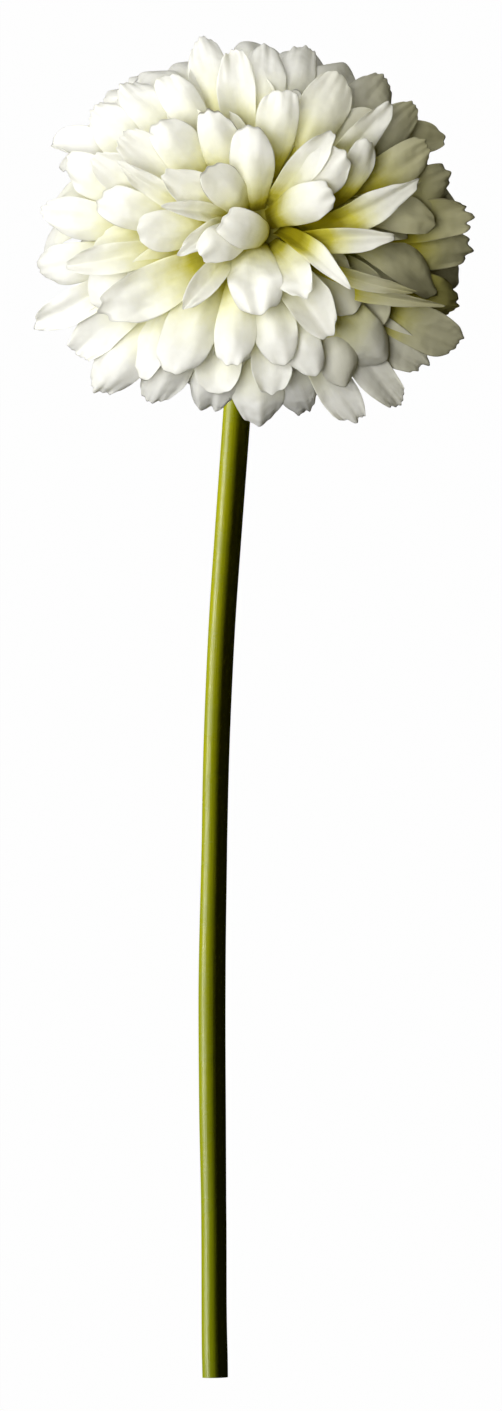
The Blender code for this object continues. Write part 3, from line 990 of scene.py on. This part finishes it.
@dataclass
class PetalMaker:
    """Shapes fine petals from flat blanks.

    Each row of teeth, waists and ripples is a wave: its size and its pace, or its paces along and
    across the petal.
    """

    plan: PetalPlan
    root_radius: float = 26.0 * MM
    claw_share: float = 0.50
    widest_at: float = 0.74
    cup_middle: float = 0.4
    cup_gain: float = 1.5
    thickness: float = 0.36 * MM
    stem_gap: float = 5.65 * MM
    most_skew: float = 0.04
    most_sway: float = 0.08
    most_ridge: float = 0.25
    crease_width: float = 0.26
    waves: Range = (1.2, 2.6)
    pleat: Range = (0.02, 0.06)
    pleats: tuple[float, ...] = (1.0, 1.5, 2.0)
    teeth: tuple[Range, ...] = ((1.0, 17.0), (0.6, 27.0))
    waists: tuple[Place, ...] = ((0.04, 8.0, 1.0), (0.008, 21.0, -2.0))
    ripples: tuple[Place, ...] = ((0.06, 7.0, 3.0), (0.04, 13.0, -5.0), (0.004, 8.0, 12.0))
    # Rim weights of painted edge shade for petals that have none of their own, and how much a
    # shaded edge adds to the frill.
    edge_shade: tuple[float, ...] = (0.0, 0.0, 0.0, 0.05, 0.12)
    rim_frill: float = 0.012
    draw: random.Random = field(default_factory=lambda: random.Random(23))

    def keep_clear(self, places: np.ndarray, floor: float) -> np.ndarray:
        """Move points out of the stem's way and up to the floor.

        Args:
            places: the points.
            floor: the lowest height that they may have.

        Returns:
            The moved points.
        """
        stem = np.array(STEM_LINE)
        start, step = stem[:-1], np.diff(stem, axis=0)
        share = np.einsum("pmk,mk->pm", places[:, None] - start, step) / (step**2).sum(1)
        feet = start + np.clip(share, 0, 1)[..., None] * step
        apart = np.linalg.norm(places[:, None] - feet, axis=2)
        nearest = apart.argmin(axis=1)
        rows = np.arange(len(places))
        foot, gap = feet[rows, nearest], apart[rows, nearest]
        moved = foot + unit(places - foot) * self.stem_gap
        places = np.where((gap < self.stem_gap)[:, None], moved, places)
        places[:, 2] = np.maximum(places[:, 2], floor)
        return places

    def phases(self, count: int) -> list[float]:
        """Draw this many angles for waves to start at."""
        return [self.draw.uniform(0, math.tau) for _ in range(count)]

    def outline(
        self, petal: Petal, habit: Habit, blank: PetalBlank
    ) -> tuple[np.ndarray, np.ndarray, np.ndarray]:
        """The petal's outline, with a rounded, notched or pointed end.

        Args:
            petal: the petal.
            habit: the ranges of its form.
            blank: the blank that it is shaped from.

        Returns:
            Where each point lies across the petal and along it, and how far it is into the end.
        """
        draw, across, along = self.draw, blank.across, blank.along
        notch, round_off = draw.uniform(*habit.notch), draw.uniform(*habit.roundness)
        skew, frill = draw.uniform(-self.most_skew, self.most_skew), draw.uniform(*habit.frill)
        frill += self.rim_frill * (petal.rim or 0.0)
        phase = self.phases(3)
        end = np.clip((along - self.widest_at) / (1 - self.widest_at), 0, 1)
        lateral = across * np.sqrt(1 - round_off * end**2 / 2)
        arc = np.sqrt(1 - round_off * across**2 / 2)
        share = np.minimum(along, self.widest_at) + (1 - self.widest_at) * end * arc
        tapered = np.clip(1.05 - np.sqrt(across**2 + 0.03), 0, 1) * end**2
        share += (petal.point + max(0.0, -notch)) * tapered
        share -= max(0.0, notch) * np.exp(-((across / 0.3) ** 2)) * end**2
        share += skew * across * end + frill * np.sin(9 * across + phase[0]) * end**2
        for (size, pace), start in zip(self.teeth, phase[1:]):
            share += petal.fringe * size * np.sin(pace * across + start) * end**2
        for (size, pace, crosswise), start in zip(self.waists, phase[1:]):
            lateral *= 1 + size * np.sin(pace * along + start + crosswise * across)
        return lateral, share, end

    def relief(
        self, petal: Petal, habit: Habit, blank: PetalBlank, lateral: np.ndarray, end: np.ndarray
    ) -> np.ndarray:
        """How far each point stands proud of the petal's line, in half widths.

        Args:
            petal: the petal.
            habit: the ranges of its form.
            blank: the blank that it is shaped from.
            lateral: where each point lies across the petal.
            end: how far each point is into the rounded end.

        Returns:
            The heights, above zero away from the bloom's centre.
        """
        draw, across, along = self.draw, blank.across, blank.along
        sharp, flare = draw.uniform(*habit.sharpness), draw.uniform(*habit.flare)
        curl = draw.uniform(*habit.curl)
        ruffle, crease = draw.uniform(*habit.ruffle), draw.uniform(*habit.crease)
        waves, ridge = draw.uniform(*self.waves), draw.uniform(-self.most_ridge, self.most_ridge)
        pleats, pleat = draw.choice(self.pleats), draw.uniform(*self.pleat)
        phase = self.phases(7)
        even = lateral**2
        off_ridge = lateral - ridge * along
        folded = np.sqrt(off_ridge**2 + 0.012) - 0.08
        height = self.cup_gain * petal.cup * (even + sharp * (folded - even) - self.cup_middle)
        height *= np.minimum(1, 2 * along)
        grown = np.clip(2 * along - 0.6, 0, 1)
        height += flare * np.abs(lateral) ** 4 * grown + curl * end**2
        wave = math.tau * waves * along + np.where(across < 0, phase[0], phase[1])
        height += ruffle * np.abs(lateral) ** 3 * grown * np.sin(wave)
        height += 0.6 * ruffle * end**3 * np.sin(math.pi * 2.2 * across + phase[2])
        height -= crease * np.exp(-((off_ridge / self.crease_width) ** 2)) * grown
        height += pleat * np.cos(math.pi * pleats * across + phase[3] + 2 * along) * along
        height += 4 * petal.fringe * np.sin(15 * across + phase[6]) * end
        for (size, pace, crosswise), start in zip(self.ripples, phase[4:]):
            height += size * np.sin(pace * along + crosswise * across + start) * grown
        return height

    def shape(self, petal: Petal, blank: PetalBlank) -> np.ndarray:
        """The points of a petal's middle surface.

        Args:
            petal: the petal.
            blank: the blank that it is shaped from.

        Returns:
            The points, one row each.
        """
        habit = PetalForm.of_cup(petal.cup).value
        lateral, share, end = self.outline(petal, habit, blank)
        height = self.relief(petal, habit, blank, lateral, end)
        sway = self.draw.uniform(-self.most_sway, self.most_sway)
        along, share = blank.along, share[:, None]
        start = np.array(petal.root) * self.root_radius
        knee = np.array(petal.root) * (petal.reach * petal.rise)
        tip = np.array(petal.tip) * petal.reach
        middle = (1 - share) ** 2 * start + 2 * share * (1 - share) * knee + share**2 * tip
        ahead = unit((1 - share) * (knee - start) + share * (tip - knee))
        side = unit(np.cross(petal.root, petal.tip))
        face = np.cross(ahead, side)
        turn = (petal.twist * along)[:, None]
        turned_side = side * np.cos(turn) + face * np.sin(turn)
        turned_face = face * np.cos(turn) - side * np.sin(turn)
        swell = np.clip(along / self.widest_at, 0, 1)
        swell = self.claw_share + (1 - self.claw_share) * swell**2 * (3 - 2 * swell)
        width = petal.half_width * (lateral * swell + sway * along**2)
        places = (
            np.array(self.plan.centre)
            + middle
            + turned_side * width[:, None]
            + turned_face * (height * petal.half_width)[:, None]
        )
        return self.keep_clear(places, petal.floor)

    def openness(self, places: np.ndarray) -> np.ndarray:
        """How far out in the ball each point lies: 0 at the centre and 1 at its surface."""
        apart = places - np.array(self.plan.centre)
        return np.linalg.norm(apart / np.array(self.plan.half_sizes), axis=1)

    def make(
        self, name: str, petals: Sequence[Petal], detail: Detail, material: Material
    ) -> Object:
        """Make several petals as one piece.

        Args:
            name: the piece's name.
            petals: the petals.
            detail: how finely they are divided.
            material: the petals' material.

        Returns:
            The piece, with its modifiers applied.
        """
        blank = PetalBlank(detail)
        copies = []
        for petal in petals:
            places = self.shape(petal, blank)
            depth, tone = self.openness(places), self.draw.random()
            # A rim weight of painted edge shade, drawn for petals that have none of their own.
            edge_shade = self.draw.choice(self.edge_shade)
            rim = edge_shade if petal.rim is None else petal.rim
            copies.append(blank.copy(places, (depth, tone, rim, petal.claw, petal.age)))
        bpy.data.objects.remove(blank.sheet, do_unlink=True)
        pick(*copies)
        bpy.ops.object.join()
        piece = just_added(name)
        piece.data.materials.append(material)
        solidify = piece.modifiers.new("thickness", "SOLIDIFY")
        solidify.thickness = self.thickness
        solidify.offset = 0.0
        solidify.vertex_group = "flesh"
        smooth = piece.modifiers.new("smooth", "SUBSURF")
        smooth.levels = smooth.render_levels = 1
        finish_modifiers(piece)
        places = places_of(piece.data)
        places[:, 2] = np.maximum(places[:, 2], 0.0)
        set_places(piece.data, places)
        pick(piece)
        bpy.ops.object.shade_smooth()
        return piece


@dataclass
class Bloom:
    """The head: petals in several pieces round a rough core."""

    effects: Effects
    plan: PetalPlan = field(default_factory=PetalPlan)
    finish: PetalFinish = field(default_factory=PetalFinish)
    core_finish: CoreFinish = field(default_factory=CoreFinish)
    upper_half: float = -0.15
    core_radius: float = 28.5 * MM
    core_roughness: float = 2.2 * MM
    stub_size: float = 0.006

    def build(self) -> list[Object]:
        """Make every piece of the head and dress it.

        Returns:
            The pieces.
        """
        material = self.finish.make(self.effects)
        maker = PetalMaker(self.plan)
        front = self.plan.front()
        outer = self.plan.spiral(OUTER_SPIRAL, [petal.tip * petal.reach for petal in front])
        groups = {
            "petals_crown": (front[: len(CROWN_PETALS)], Detail.FINE),
            "petals_rim": (front[len(CROWN_PETALS) :], Detail.FRINGED),
            "petals_upper": ([p for p in outer if p.tip.z > self.upper_half], Detail.MEDIUM),
            "petals_lower": ([p for p in outer if p.tip.z <= self.upper_half], Detail.PLAIN),
            "petals_inner": (self.plan.spiral(INNER_SPIRAL), Detail.SMALL),
        }
        pieces = [self.make_core()]
        self.hand_over(pieces[0], "core")
        for name, (petals, detail) in groups.items():
            piece = maker.make(name, petals, detail, material)
            self.hand_over(piece, f"{len(petals)} petals")
            pieces.append(piece)
        return pieces

    def make_core(self) -> Object:
        """The core that every petal grows from, rough with the stubs of its packed stalks.

        Returns:
            The core.
        """
        bpy.ops.mesh.primitive_ico_sphere_add(subdivisions=5, radius=self.core_radius)
        core = just_added("bloom_core")
        stubs = bpy.data.textures.new("core_stubs", "VORONOI")
        stubs.noise_scale = self.stub_size
        rough = core.modifiers.new("stubs", "DISPLACE")
        rough.texture = stubs
        rough.strength = -self.core_roughness
        rough.mid_level = 0.3
        finish_modifiers(core)
        set_places(core.data, places_of(core.data) + np.array(self.plan.centre))
        bpy.ops.object.shade_smooth()
        core.data.materials.append(self.core_finish.make(self.effects))
        return core

    def hand_over(self, piece: Object, note: str) -> None:
        """Let a piece stand for the solid bloom, and report it.

        Args:
            piece: the piece.
            note: what the log says that it is.
        """
        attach(piece, "root")
        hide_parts("bloom")
        log.info("%s: %s, %d faces", piece.name, note, len(piece.data.polygons))


@dataclass
class Stem:
    """The bare stem, from its cut end up into the core.

    widths are radii in millimetres at shares of its length. cut_steps are insets of its cut end in
    millimetres: how wide each ring is and how far it stands out.
    """

    effects: Effects
    finish: StemFinish = field(default_factory=StemFinish)
    cut_finish: CutFinish = field(default_factory=CutFinish)
    sides: int = 48
    rings: int = 150
    radius: float = 3.8 * MM
    widths: tuple[Range, ...] = (
        (0.00, 3.72), (0.03, 3.78), (0.10, 3.66), (0.18, 3.68), (0.24, 3.90), (0.33, 3.95),
        (0.43, 3.72), (0.52, 3.82), (0.66, 3.92), (0.80, 4.02), (1.00, 4.05),
    )
    cut_steps: tuple[Range, ...] = ((0.18, 0.0), (0.55, 0.02), (0.25, -0.12), (1.2, -0.05))
    cut_zone: float = 0.18 * MM

    def build(self) -> Object:
        """Make the stem, dress it and hand it over.

        Returns:
            The stem.
        """
        stem = self.make_straight()
        stem.data.materials.append(self.finish.make(self.effects))
        stem.data.materials.append(self.cut_finish.make(self.effects))
        for face in stem.data.polygons:
            face.material_index = int(face.center.z < self.cut_zone and face.normal.z < -0.5)
        self.bend(stem)
        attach(stem, "root")
        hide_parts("stem")
        log.info("%s: %d faces", stem.name, len(stem.data.polygons))
        return stem

    def make_straight(self) -> Object:
        """The stem before it is bent: a cylinder with rings along it and a worked cut end.

        Returns:
            The straight stem, its cut end at height zero.
        """
        length = sum((after - before).length for before, after in zip(STEM_LINE, STEM_LINE[1:]))
        bpy.ops.mesh.primitive_cylinder_add(
            vertices=self.sides, radius=self.radius, depth=length, location=(0, 0, length / 2)
        )
        stem = just_added("stem_scape")
        bpy.ops.object.transform_apply(location=True, rotation=False, scale=False)
        bpy.ops.object.mode_set(mode="EDIT")
        bpy.ops.mesh.select_mode(type="EDGE")
        self.select(stem, "edges", lambda edge: edge.calc_length() > length / 2)
        bpy.ops.mesh.subdivide(number_cuts=self.rings)
        bpy.ops.mesh.select_mode(type="FACE")
        self.select(stem, "faces", self.at_cut)
        for inward, outward in self.cut_steps:
            bpy.ops.mesh.inset(thickness=inward * MM, depth=outward * MM)
        bpy.ops.mesh.poke()
        bpy.ops.object.mode_set(mode="OBJECT")
        return stem

    @staticmethod
    def at_cut(face: bmesh.types.BMFace) -> bool:
        """Whether a face of the straight stem is the one at its cut end."""
        return face.normal.z < -0.9 and face.calc_center_median().z < 0.1 * MM

    @staticmethod
    def select(stem: Object, kind: str, wanted: Callable[[object], bool]) -> None:
        """Select only the parts of a mesh that pass a test, in edit mode.

        Args:
            stem: the mesh's object.
            kind: "edges" or "faces".
            wanted: the test.
        """
        shape = bmesh.from_edit_mesh(stem.data)
        for item in (*shape.verts, *shape.edges, *shape.faces):
            item.select = False
        for item in filter(wanted, getattr(shape, kind)):
            item.select = True
        shape.select_flush_mode()
        bmesh.update_edit_mesh(stem.data)

    def bend(self, stem: Object) -> None:
        """Give the straight stem its widths, and bend it along its centre line.

        Args:
            stem: the straight stem, whose mesh is changed.
        """
        bpy.ops.curve.primitive_nurbs_path_add()
        guide = bpy.context.active_object
        curve = guide.data
        curve.splines.clear()
        spline = curve.splines.new("POLY")
        spline.points.add(len(STEM_LINE) - 1)
        shares, radii = zip(*self.widths)
        for number, (point, place) in enumerate(zip(spline.points, STEM_LINE)):
            point.co = (*place, 1.0)
            share = number / (len(STEM_LINE) - 1)
            point.radius = float(np.interp(share, shares, radii)) * MM / self.radius
        curve.use_radius = True
        curve.twist_mode = "Z_UP"
        guide.location = (0, 0, 0)
        follow = stem.modifiers.new("bend", "CURVE")
        follow.object = guide
        follow.deform_axis = "POS_Z"
        finish_modifiers(stem)
        bpy.data.objects.remove(guide, do_unlink=True)
        bpy.ops.object.shade_smooth_by_angle(angle=math.radians(35))


@dataclass(frozen=True)
class SoftBox:
    """A soft light: its name, where it hangs, its width and height, watts, target and colour."""

    name: str
    place: Place
    size: Range
    power: float
    target: Place = (0.0, 0.138, 0.05)
    colour: Colour = (1.0, 1.0, 1.0)

    def hang(self, lit: Sequence[Object]) -> None:
        """Hang the light, shaded from everything but some pieces, as a studio flag does.

        Args:
            lit: the pieces that it lights.
        """
        turn = (Vector(self.place) - Vector(self.target)).to_track_quat("Z", "Y").to_euler()
        bpy.ops.object.light_add(type="AREA", location=self.place, rotation=turn)
        lamp = just_added(self.name)
        lamp.data.shape = "RECTANGLE"
        lamp.data.size, lamp.data.size_y = self.size
        lamp.data.energy = self.power
        lamp.data.color = self.colour
        lamp.visible_camera = False
        receivers = bpy.data.collections.new("lit_by_" + self.name)
        for piece in lit:
            receivers.objects.link(piece)
        lamp.light_linking.receiver_collection = receivers


@dataclass
class Studio:
    """The table, the soft lights and the camera straight above."""

    effects: Effects
    bloom: Sequence[Object]
    stem: Sequence[Object]
    table: TableFinish = field(default_factory=TableFinish)
    table_size: float = 8.0
    aim: Vector = Vector((-0.5, 0.1, 25.0)) * MM
    height: float = 6.0
    over_bloom: float = 70.0 * MM
    seen_length: float = 408.6 * MM
    sensor: float = 36.0
    world_seen: Colour = (0.99, 0.99, 0.99)
    world_fill: Colour = (0.012, 0.011, 0.007)
    stem_light: SoftBox = SoftBox(
        "key_left", (-1.0, 0.0, 0.18), (0.9, 0.30), 11.5, target=(0.0, 0.0, 0.02)
    )
    bloom_lights: tuple[SoftBox, ...] = (
        SoftBox("bloom_front", (-0.26, 0.12, 1.02), (0.5, 0.5), 11.0),
        SoftBox("bloom_side", (-0.97, 0.17, 0.27), (1.1, 0.4), 9.0),
        SoftBox("bloom_top", (-0.05, 1.11, 0.27), (0.6, 0.45), 4.5),
        SoftBox("bloom_fill", (0.7, -0.1, 0.75), (0.9, 0.9), 0.4, colour=(1.0, 0.88, 0.50)),
    )

    def build(self) -> None:
        """Make the table, the world, the lights and the camera."""
        self.make_table()
        self.make_world()
        self.stem_light.hang(self.stem)
        for light in self.bloom_lights:
            light.hang(self.bloom)
        self.make_camera()

    def make_table(self) -> None:
        """The pale table that the flower lies on."""
        bpy.ops.mesh.primitive_plane_add(size=self.table_size)
        table = just_added("table_top")
        table.data.materials.append(self.table.make(self.effects))

    def make_world(self) -> None:
        """A plain pale room, dim except to the camera's own rays."""
        world = bpy.data.worlds.new("pale_room")
        bpy.context.scene.world = world
        world.use_nodes = True
        sheet = NodeSheet(world.node_tree)
        camera_ray = sheet.add("LightPath").outputs["Is Camera Ray"]
        colour = sheet.mix(camera_ray, self.world_fill, self.world_seen)
        sheet.fill(world.node_tree.nodes["Background"], {"Color": colour})

    def make_camera(self) -> None:
        """A long lens high above the bloom, which stands at the top of the frame."""
        place = self.aim + Vector((0, self.over_bloom, self.height))
        bpy.ops.object.camera_add(location=place)
        camera = just_added("camera_above")
        camera.rotation_euler = (-math.atan2(self.over_bloom, self.height), 0, 0)
        camera.data.sensor_fit = "AUTO"
        camera.data.sensor_width = self.sensor
        camera.data.lens = self.sensor * self.height / self.seen_length
        camera.data.clip_end = 50.0
        bpy.context.scene.camera = camera
        bpy.context.scene.view_settings.view_transform = "Standard"


def main() -> None:
    """Build the flower and its studio."""
    logging.basicConfig(level=logging.INFO, format="%(name)s: %(message)s")
    effects = Effects()
    bloom = Bloom(effects).build()
    stem = Stem(effects).build()
    Studio(effects, bloom, [stem]).build()


if __name__ == "__main__":
    main()
